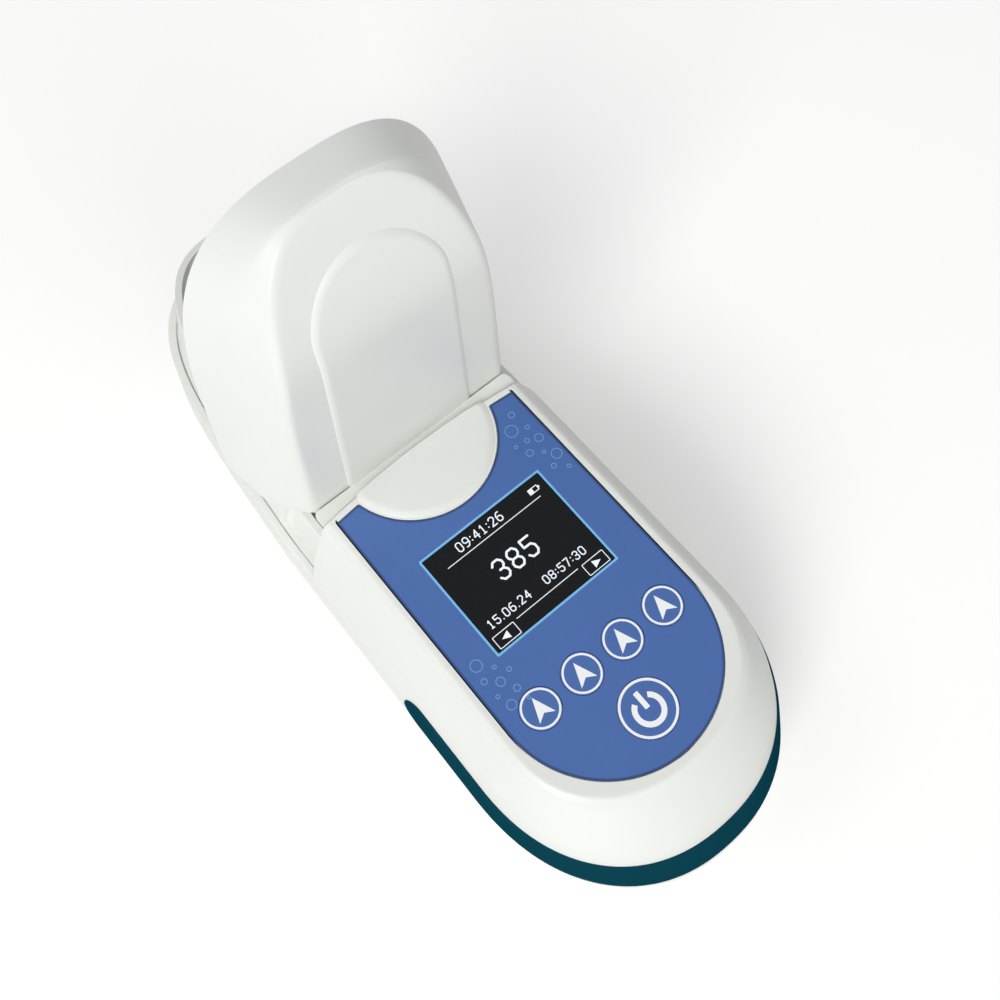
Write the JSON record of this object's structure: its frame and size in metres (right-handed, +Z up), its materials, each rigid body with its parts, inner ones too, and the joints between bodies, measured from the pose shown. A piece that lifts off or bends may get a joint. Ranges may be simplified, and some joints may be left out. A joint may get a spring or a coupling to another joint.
{
  "type": "portable turbidity meter",
  "caption": "Hand-held turbidity meter: long rounded white case with a blue key panel and dark display, and a flip-up light shield standing open over the sample well.",
  "frame": {"origin": "on the table under the middle of the case, midway between its ends and its sides", "axes": "+X across the meter to the user's right, +Y back from the keys towards the sample well, +Z up"},
  "size_m": [0.0924, 0.2402, 0.1673],
  "materials": {
    "shell_white": "satin moulded ABS",
    "trim_teal": "smooth moulded",
    "overlay_blue": "fine-grained printed film",
    "display_glass": "dark glossy window",
    "board_dark": "module frame",
    "key_white": "printed film over a disc",
    "part_black": "light-absorbing black",
    "board_green": "circuit board",
    "screw_steel": "zinc-plated",
    "pin_steel": "ground steel",
    "lamp_clear": "clear resin",
    "seal_rubber": "matt",
    "cell_wrap": "plain sleeve"
  },
  "bodies": {
    "case": {"upper_shell": "shell_white", "base_shell": "shell_white", "trim_strip": "trim_teal", "panel_overlay": "overlay_blue", "display_window": "display_glass", "display_module": "board_dark", "key_switches": "part_black", "main_board": "board_green", "board_screws": "screw_steel", "case_screws": "screw_steel", "deck_screws": "screw_steel", "sample_deck": "shell_white", "optical_block": "part_black", "infrared_lamp": "lamp_clear", "lamp_lens": "lamp_clear", "beam_detector": "part_black", "scatter_detector": "part_black", "sensor_boards": "board_green", "light_seal": "seal_rubber", "battery_holder": "part_black", "battery_cells": "cell_wrap", "battery_contacts": "pin_steel", "rubber_feet": "seal_rubber"},
    "lid": {"lid_shell": "shell_white", "hinge_pins": "pin_steel", "lid_liner": "part_black"},
    "left_key_body": {"left_key": "key_white"},
    "centre_left_key_body": {"centre_left_key": "key_white"},
    "centre_right_key_body": {"centre_right_key": "key_white"},
    "right_key_body": {"right_key": "key_white"},
    "power_key_body": {"power_key": "key_white"},
    "door": {"battery_door": "shell_white"}
  },
  "joints": [
    {"name": "lid_hinge", "type": "hinge", "parent": "case", "child": "lid", "pos_m": [0, 0.0224, 0.0682], "axis": [1, 0, 0], "range_deg": [-90, 0]},
    {"name": "left_key_press", "type": "slide", "parent": "case", "child": "left_key_body", "axis": [0, 0, 1], "range_m": [-0.0004, 0], "stiffness_N_per_m": 2000, "springref_m": 0.0001},
    {"name": "centre_left_key_press", "type": "slide", "parent": "case", "child": "centre_left_key_body", "axis": [0, 0, 1], "range_m": [-0.0004, 0], "stiffness_N_per_m": 2000, "springref_m": 0.0001},
    {"name": "centre_right_key_press", "type": "slide", "parent": "case", "child": "centre_right_key_body", "axis": [0, 0, 1], "range_m": [-0.0004, 0], "stiffness_N_per_m": 2000, "springref_m": 0.0001},
    {"name": "right_key_press", "type": "slide", "parent": "case", "child": "right_key_body", "axis": [0, 0, 1], "range_m": [-0.0004, 0], "stiffness_N_per_m": 2000, "springref_m": 0.0001},
    {"name": "power_key_press", "type": "slide", "parent": "case", "child": "power_key_body", "axis": [0, 0, 1], "range_m": [-0.0004, 0], "stiffness_N_per_m": 2000, "springref_m": 0.0001},
    {"name": "door_lift_off", "type": "slide", "parent": "case", "child": "door", "axis": [0, 0, -1], "range_m": [0, 0.015]}
  ]
}
